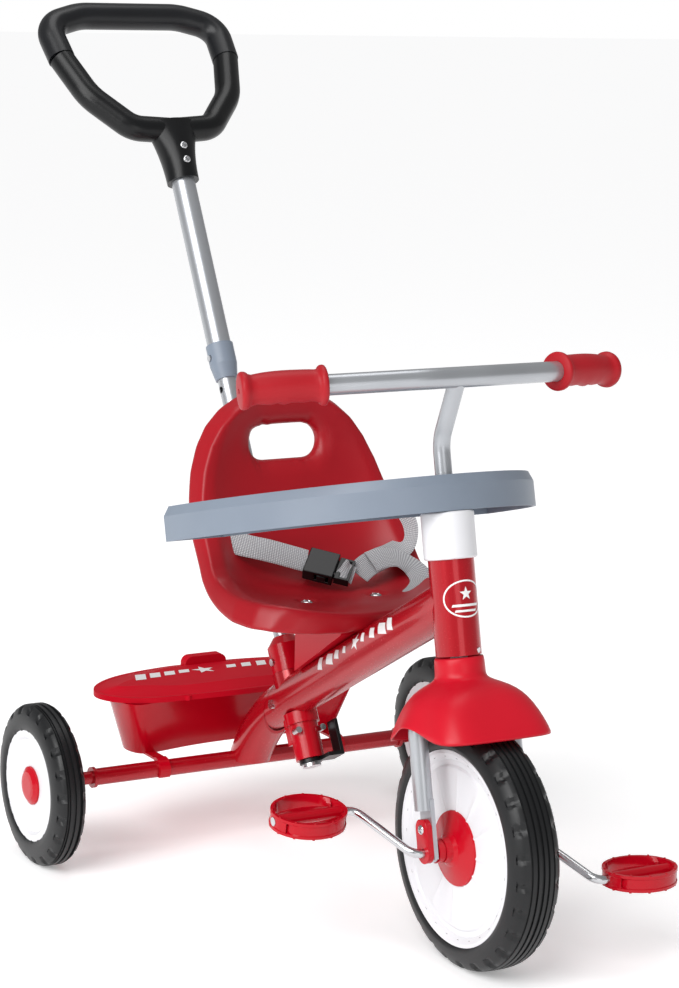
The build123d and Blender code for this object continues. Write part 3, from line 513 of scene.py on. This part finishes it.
inside = [f for f in bm.faces if slot_gap(f.calc_center_median()) < 0 and f.calc_center_median().z > 380]
bmesh.ops.delete(bm, geom=inside, context="FACES")
hem = [v for v in bm.verts if v.is_boundary and v.co.z > 385 and slot_gap(v.co) < 9 and abs(v.co.x) < 60]
around = [min(hem, key=lambda v: (v.co.xz - Vector(outline(0))).length)]
while len(around) < len(hem):
    beside = [e.other_vert(around[-1]) for e in around[-1].link_edges if e.is_boundary]
    beside = [v for v in beside if v not in around]
    around.append(min(beside, key=lambda v: v.co.x))
for step, v in enumerate(around):
    x, z = outline(step / len(around))
    v.co = (x, between(z, [(up, back) for back, up in PROFILE[6:]]), z)
near = [v for v in bm.verts if v not in hem and v.co.z > 385 and slot_gap(v.co) < 16]
for _ in range(8):
    bmesh.ops.smooth_vert(bm, verts=near, factor=0.5, use_axis_x=True, use_axis_z=True)
for v in bm.verts:
    if v.co.z > 385:
        v.co.y += 4.0 * max(0.0, 1 - max(0.0, slot_gap(v.co)) / 13) ** 2
hem_edges = [e for e in bm.edges if e.is_boundary and e.verts[0] in hem and e.verts[1] in hem]
rows = bmesh.ops.extrude_edge_only(bm, edges=hem_edges)
for v in [g for g in rows["geom"] if isinstance(g, bmesh.types.BMVert)]:
    v.co.y += 7.0
    v.co.z += 1.0

# %% Seat: dimples for the two screws, then the wall
SEAT_WALL = 3.2
SCREW_SPOTS = [(-38.5, -183), (38.5, -183)]
screw_floor = []
for x, y in SCREW_SPOTS:
    near = []
    for v in bm.verts:
        reach = sqrt((v.co.x - x) ** 2 + (v.co.y - y) ** 2)
        if v.co.z < 310 and reach < 16:
            v.co.z -= 2.6 * (1 - smooth_step(reach, 6, 14))
            near += [v.co.z] if reach < 5 else []
    screw_floor.append((x, y, sum(near) / len(near)))
print("screws sit at", [[round(c, 1) for c in spot] for spot in screw_floor])
GROUND = plane((0, 0, 0), (0, 0, 1))
# the seat's finish carries painted shade in its darker red
finish_piece("seat_moulding", bm, GROUND, FINISH["red_seat"], "seat", ("seat_shell",),
             levels=1, wall=SEAT_WALL)

# %% [markdown]
# Pan-head screws are turned and stamped: a low dome with a cross recess. The dome is spun, and the points
# that lie in the arms of the cross are pressed in.

# %% Screw heads
def screw_heads(name, spots, radius, body, nodes):
    """Domed heads with a cross recess at (place in mm, outward direction) spots, as one piece."""
    whole = bmesh.new()
    for spot, outward in spots:
        section = [(0.95 * radius * cos(radians(a)) * 0.45, radius * sin(radians(a)))
                   for a in range(0, 91, 9)]
        bm = spun(section + [(-0.15 * radius, radius)], 48)
        for v in bm.verts:
            reach = sqrt(v.co.y ** 2 + v.co.z ** 2)
            arm = min(abs(v.co.y), abs(v.co.z))
            if reach < 0.62 * radius and arm < 0.13 * radius:
                v.co.x -= 0.28 * radius
        bmesh.ops.rotate(bm, matrix=Matrix.Rotation(-pi / 2, 3, "Y"), verts=bm.verts)
        bmesh.ops.transform(bm, matrix=plane(spot, outward, (0.3, 0.2, 0.1)), verts=bm.verts)
        part = bpy.data.meshes.new("head")
        bm.to_mesh(part)
        bm.free()
        whole.from_mesh(part)
        bpy.data.meshes.remove(part)
    return finish_piece(name, whole, Matrix.Identity(4), FINISH["bright_steel"], body, nodes)


screw_heads("seat_screw_heads", [((x, y, z + SEAT_WALL), (0, 0, 1)) for x, y, z in screw_floor], 6.2, "seat",
            ("seat_screws",))
bracket_top = STEER @ Vector((0, 0, 21)) / MM
dropout_spots = [((side * 54.5, bracket_top.y, bracket_top.z), (side, 0, 0)) for side in (-1, 1)]
screw_heads("dropout_screw_heads", dropout_spots, 4.4, "fork", ("dropout_screws",))
yoke_spots = [(PUSH @ Vector((0, 0, along)) / MM, Vector((0, -cos(SLOPE), sin(SLOPE))))
              for along in (578, 594)]
screw_heads("yoke_screw_heads", [(spot + out * 19.2, out) for spot, out in yoke_spots], 4.0, "push_handle",
            ("yoke_screws",))

# %% [markdown]
# The handlebar grips are soft vinyl sleeves: a broad round flange inside, a waisted body with a palm swell
# above and finger grooves in front, and a second flange round the closed end, which has a small hole in its
# middle.

# %% Handlebar grips
grip_section = [
    (0.0, 9.6), (0.0, 16.6), (0.8, 17.7), (2.2, 18.2), (4.4, 18.0), (5.8, 17.0), (6.6, 15.2), (9, 14.4),
    (14, 14.1), (20, 14.0),
    (26, 14.2), (32, 14.4), (38, 14.5), (44, 14.4), (50, 14.2), (56, 13.8), (62, 13.5),
    (66, 13.6), (69, 14.6), (70.5, 16.0),
    (72.2, 16.8), (74.4, 17.0), (76.2, 16.4), (77.0, 15.2), (77.3, 12.0), (77.5, 6.0),
    (77.5, 2.5), (72.4, 2.4),
]
for side, hand in ((-1, "right"), (1, "left")):
    bm = spun(grip_section, 64)
    for v in bm.verts:
        reach = sqrt(v.co.y ** 2 + v.co.z ** 2)
        body = smooth_step(v.co.x, 8, 18) * (1 - smooth_step(v.co.x, 58, 68))
        if reach > 13 and body > 0:
            below = max(0.0, -v.co.z / reach)
            palm = max(0.0, v.co.z / reach)
            swell = body * (1.2 * palm - 0.9 * below * cos(2 * pi * (v.co.x - 14) / 15.5) - 0.6 * below)
            v.co.y *= 1 + swell / reach
            v.co.z *= 1 + swell / reach
    run = Vector((side * 69.0, 20.0, -4.4)).normalized()
    bmesh.ops.rotate(bm, matrix=Matrix.Rotation(-pi / 2, 3, "Y"), verts=bm.verts)
    finish_piece(f"grip_sleeve_{hand}", bm, plane((side * 121.4, -356.6, 527.0), run, (0, 0, -1)),
                 FINISH["red_grip"], "fork", (f"grip_{hand}",), 50)

# %% [markdown]
# Each pedal is an open oval tray: a thin wall that leans out a little, a lip at both rims with twelve small
# grip studs, a round boss for the spindle, and two ribs that curve across. They are separate shapes in one
# mesh.

# %% Pedals
def pedal(name, place, tilt, body, node):
    bm = bmesh.new()
    wall = [(36.0, 31.0, -7.5), (36.2, 31.2, -5.0), (35.4, 30.4, -4.2), (35.4, 30.4, 4.2), (36.2, 31.2, 5.0),
            (36.0, 31.0, 7.5),
            (33.0, 28.0, 7.5), (32.6, 27.6, 4.0), (32.6, 27.6, -4.0), (33.0, 28.0, -7.5)]
    loops = [rounded_ring(bm, half_x, half_y, half_y, 0, height, 72) for half_x, half_y, height in wall]
    for first, second in zip(loops, loops[1:] + loops[:1]):
        bmesh.ops.bridge_loops(bm, edges=list(set(first)) + list(set(second)))
    for step in range(12):
        turn = 2 * pi * (step + 0.5) / 12
        for height in (-7.6, 7.6):
            spot = Matrix.Translation((34.5 * cos(turn), 29.6 * sin(turn), height))
            bmesh.ops.create_cone(bm, cap_ends=True, segments=10, radius1=1.3, radius2=1.0, depth=1.6,
                                  matrix=spot)
    lying = Matrix.Rotation(pi / 2, 4, "Y")
    bmesh.ops.create_cone(bm, cap_ends=True, segments=40, radius1=5.6, radius2=5.6, depth=66, matrix=lying)
    for side in (-1, 1):
        rib_place = Matrix.Translation((0, 13.5 * side, -1.5)) @ Matrix.Diagonal((59, 1.8, 6.0, 1))
        rib = bmesh.ops.create_cube(bm, size=1, matrix=rib_place)
        long_edges = [e for e in {e for v in rib["verts"] for e in v.link_edges} if e.calc_length() > 40]
        bmesh.ops.subdivide_edges(bm, edges=long_edges, cuts=14)
    for v in bm.verts:
        if 7 < abs(v.co.y) < 18 and abs(v.co.x) < 29.5 and abs(v.co.z) < 4.4:
            v.co.y *= 1.10 - 0.42 * (v.co.x / 29) ** 2
    bmesh.ops.rotate(bm, matrix=Matrix.Rotation(tilt, 3, "X"), verts=bm.verts)
    return finish_piece(name, bm, plane(place, (0, 0, 1)), FINISH["red_gloss"], body,
                        (node,), 35)


CRANK, CRANK_TURN, PEDAL_OUT, PEDAL_DIP = 72, radians(21), 135, radians(10)
_, HUB_Y, HUB_Z = FRONT_HUB
CRANK_Y, CRANK_Z = CRANK * cos(CRANK_TURN), CRANK * sin(CRANK_TURN)
pedal("pedal_tray_left", (PEDAL_OUT, HUB_Y - CRANK_Y, HUB_Z - CRANK_Z), 0, "left_pedal", "pedal_left")
pedal("pedal_tray_right", (-PEDAL_OUT, HUB_Y + CRANK_Y, HUB_Z + CRANK_Z), PEDAL_DIP, "right_pedal",
      "pedal_right")

# %% [markdown]
# Many CAD pieces already have the right shape, but their edges are perfectly sharp, and real mouldings
# never are. A copy of such a piece is merged into one skin and given a small rounded edge, which then
# catches the light.

# %% Rounded copies of CAD pieces
def rounded(node, rounding, sharp=30):
    """A copy of a CAD node with rounded edges, in the same place and on the same body."""
    source = frame["nodes"][node]
    bm = bmesh.new()
    bm.from_mesh(source.data)
    bmesh.ops.remove_doubles(bm, verts=bm.verts, dist=0.00002)
    bmesh.ops.dissolve_limit(bm, angle_limit=radians(0.6), verts=bm.verts, edges=bm.edges)
    return finish_piece(f"{node}_rounded", bm, Matrix.Identity(4), finish_of(node),
                        source["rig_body"], (node,), sharp, rounding)


for node, rounding in (("tray", 1.2), ("buckle_socket", 0.9), ("buckle_plug", 0.6),
                       ("buckle_prong_front", 0.5),
                       ("buckle_prong_rear", 0.5), ("column_lever", 0.7), ("dropout_brackets", 0.8)):
    rounded(node, rounding)

# %% [markdown]
# The belt is flat polyester webbing, 25 mm wide, woven in a plain weave with heavy threads. A strap is a
# grid laid along a smooth route, and the grid keeps its own flat map, so the weave runs along the strap and
# never slides.

# %% Woven webbing finish
def webbing_finish(name, light, dark, thread_mm):
    made = bpy.data.materials.new(name)
    made.use_nodes = True
    tree = made.node_tree
    base = tree.nodes["Principled BSDF"]
    flat = add(tree, "UVMap", uv_map="weave").outputs["UV"]
    bands = 0.314 / (thread_mm * MM)  # a wave texture's band is about 0.314 / scale wide
    across = add(tree, "TexWave", {"Scale": bands, "Distortion": 0.6}, {"Vector": flat}, bands_direction="X")
    along = add(tree, "TexWave", {"Scale": bands * 0.8, "Distortion": 0.6}, {"Vector": flat},
                bands_direction="Y")
    weave = add(tree, "Math", {}, {0: across.outputs["Fac"], 1: along.outputs["Fac"]}, operation="MULTIPLY")
    tint = add(tree, "Mix", {6: linear(dark), 7: linear(light)}, {0: weave.outputs["Value"]},
               data_type="RGBA")
    relief = add(tree, "Bump", {"Strength": 0.8, "Distance": 0.5 * MM}, {"Height": weave.outputs["Value"]})
    tree.links.new(tint.outputs[2], base.inputs["Base Color"])
    tree.links.new(relief.outputs["Normal"], base.inputs["Normal"])
    base.inputs["Roughness"].default_value = 0.8
    base.inputs["Sheen Weight"].default_value = 0.3
    return made


FINISH["grey_webbing"] = webbing_finish("plain_weave_polyester_webbing", "#E6E6E8", "#8C8D91", 1.7)


# %% Straps laid along their routes
def smooth_between(points, share):
    """A point on a smooth curve through the points (Catmull-Rom), share running from 0 to 1."""
    place = share * (len(points) - 1)
    first = min(int(place), len(points) - 2)
    t = place - first
    p0, p1, p2, p3 = (points[max(0, min(len(points) - 1, first + step))] for step in (-1, 0, 1, 2))
    return 0.5 * ((2 * p1) + (p2 - p0) * t + (2 * p0 - 5 * p1 + 4 * p2 - p3) * t * t
                  + (3 * p1 - p0 - 3 * p2 + p3) * t ** 3)


def strap(name, stations, nodes=(), width=25.0, thick=1.5, cupped=0.8):
    """Webbing along (middle, direction across) stations in mm; it rides with the seat."""
    middles = [Vector(place) for place, _ in stations]
    sides = [Vector(side) for _, side in stations]
    length = sum((b - a).length for a, b in zip(middles, middles[1:]))
    bm = bmesh.new()
    flat = bm.loops.layers.uv.new("weave")
    bmesh.ops.create_grid(bm, x_segments=6, y_segments=12 * len(stations), size=0.5, calc_uvs=True)
    for face in bm.faces:
        for loop in face.loops:
            loop[flat].uv = (loop[flat].uv.x * width * MM, loop[flat].uv.y * length * MM)
    for v in bm.verts:
        share = v.co.y + 0.5
        here = smooth_between(middles, share)
        ahead, behind = min(1, share + 0.01), max(0, share - 0.01)
        run = (smooth_between(middles, ahead) - smooth_between(middles, behind)).normalized()
        wide = smooth_between(sides, share)
        wide = (wide - run * wide.dot(run)).normalized()
        v.co = here + wide * (v.co.x * width) + run.cross(wide) * (cupped * 4 * v.co.x ** 2)
    made = finish_piece(name, bm, GROUND, FINISH["grey_webbing"], "seat", nodes,
                        levels=1, wall=thick)
    print(name, "webbing length:", round(length), "mm")
    return made


strap("belt_right", [
    ((-96, -84, 345), (0.9, -0.2, -0.4)), ((-84, -98, 337), (0.5, -0.6, -0.6)),
    ((-66, -110, 331), (0.3, -0.65, -0.7)),
    ((-46, -118, 326), (0.1, -0.6, -0.8)), ((-26, -125, 320), (0.1, -0.6, -0.8)),
    ((-10, -131, 315), (0.0, -0.6, -0.8)),
], ("strap_right",))
strap("belt_left", [
    ((84, -66, 350), (1, 0, 0)), ((96, -88, 356), (0.9, -0.4, 0.1)), ((108, -106, 350), (0.7, -0.7, 0.1)),
    ((111, -118, 336), (0.5, -0.8, 0.1)), ((102, -128, 323), (0.3, -0.8, -0.3)),
    ((84, -138, 317), (0.2, -0.75, -0.6)),
    ((62, -147, 314), (0.1, -0.7, -0.7)), ((46, -152, 310), (0.1, -0.7, -0.7)),
    ((34, -155, 303), (0.1, -0.7, -0.7)),
], ("strap_left",))
strap("belt_tail", [
    ((50, -153, 314), (0.1, -0.7, -0.7)), ((66, -151, 317), (0.1, -0.75, -0.65)),
    ((82, -152, 315), (-0.2, -0.8, -0.6)),
    ((95, -161, 306), (-0.7, -0.5, -0.5)), ((95, -176, 298), (-0.95, -0.1, -0.2)),
    ((84, -190, 294), (-0.9, 0.4, 0)),
    ((68, -203, 292), (-0.7, 0.7, 0)), ((58, -211, 291), (-0.7, 0.7, 0)),
])
strap("belt_loop", [
    ((27, -160, 303), (0.0, -0.6, -0.8)), ((19, -157, 308), (0.0, -0.6, -0.8)),
    ((15, -153, 311), (0.0, -0.6, -0.8)),
], (), 22.0, 1.5, 0.0)

# %% [markdown]
# Printed marks are thin ink on the paint. They are made here as a skin a tenth of a millimetre above the
# surface, in a plain pattern of an oval ring, a star and slanted stripes that stands for no maker.

# %% Printed marks
PRINT = surface("screen_printed_ink_white", "#F3F3F3", "#E9E9EA", (0.3, 0.4), 0.8, 0.01, Coat_Weight=0.5)


def printed(name, shapes, wrap, body):
    """Flat outlines, given as lists of (across, along) points in mm, wrapped onto a surface by a function."""
    bm = bmesh.new()
    for outline in shapes:
        bm.faces.new([bm.verts.new((x, y, 0)) for x, y in outline])
    bmesh.ops.triangulate(bm, faces=bm.faces, ngon_method="EAR_CLIP")
    for _ in range(4):
        long_edges = [e for e in bm.edges if e.calc_length() > 2.5]
        bmesh.ops.subdivide_edges(bm, edges=long_edges, cuts=1)
        bmesh.ops.triangulate(bm, faces=bm.faces)
    for v in bm.verts:
        v.co = wrap(v.co.x, v.co.y)
    return finish_piece(name, bm, Matrix.Identity(4), PRINT, body)


def round_wrap(axis_plane, radius, facing):
    """Wraps onto a tube round a plane's normal; facing is the angle of the print's middle."""
    def wrap(x, along):
        turn = facing + x / radius
        return axis_plane @ Vector((radius * cos(turn), radius * sin(turn), along))
    return wrap


def oval_ring(half_x, half_y, wide, middle=0, count=48):
    """An oval ring as short four-sided shapes."""
    turns = [2 * pi * step / count for step in range(count + 1)]
    return [[(half_x * cos(a), middle + half_y * sin(a)), (half_x * cos(b), middle + half_y * sin(b)),
             ((half_x - wide) * cos(b), middle + (half_y - wide) * sin(b)),
             ((half_x - wide) * cos(a), middle + (half_y - wide) * sin(a))] for a, b in zip(turns, turns[1:])]


def star(x, y, size):
    """A five-pointed star, as one outline of ten points."""
    reach = [size, size * 0.42]
    return [[(x + reach[step % 2] * sin(pi * step / 5), y + reach[step % 2] * cos(pi * step / 5))
             for step in range(10)]]


def slanted(x, y, long, tall, slant=0.5):
    return [[(x, y), (x + long, y), (x + long + tall * slant, y + tall), (x + tall * slant, y + tall)]]


TUBE_PRINT = 21.12   # radius of the ink's skin on a 21 mm tube
badge = oval_ring(22, 17, 1.5, 223) + star(0, 227.5, 6.4)
badge += slanted(-14.5, 216.0, 28, 2.2) + slanted(-12, 211.2, 22, 1.9)
printed("head_badge", badge, round_wrap(STEER, TUBE_PRINT, -pi / 2), "frame")
stripes = []
for step, long in enumerate((9, 14, 9, 6)):
    stripes += slanted(-8 + 1.5 * step, 92 + 18 * step, 13 - 2 * step, long, 0.3)
for step, long in enumerate((7, 10, 15, 10)):
    stripes += slanted(-6 + 0.5 * step, 184 + 18 * step, 9 + step, long, 0.3)
stripes += star(0, 172, 9)
printed("tube_stripes", stripes, round_wrap(MAIN, TUBE_PRINT, radians(158)), "frame")
LID_PRINT_UP = 159.2
lid_marks = star(-18, 72, 13)
for step in range(4):
    lid_marks += slanted(-102 + 18 * step, 60 + 3 * step, 12, 20 - 3 * step, 0.4)
    lid_marks += slanted(8 + 17 * step, 69 - 2 * step, 11, 11 + 3 * step, 0.4)
printed("lid_stripes", lid_marks, lambda x, y: Vector((x, y, LID_PRINT_UP)) * MM, "lid")
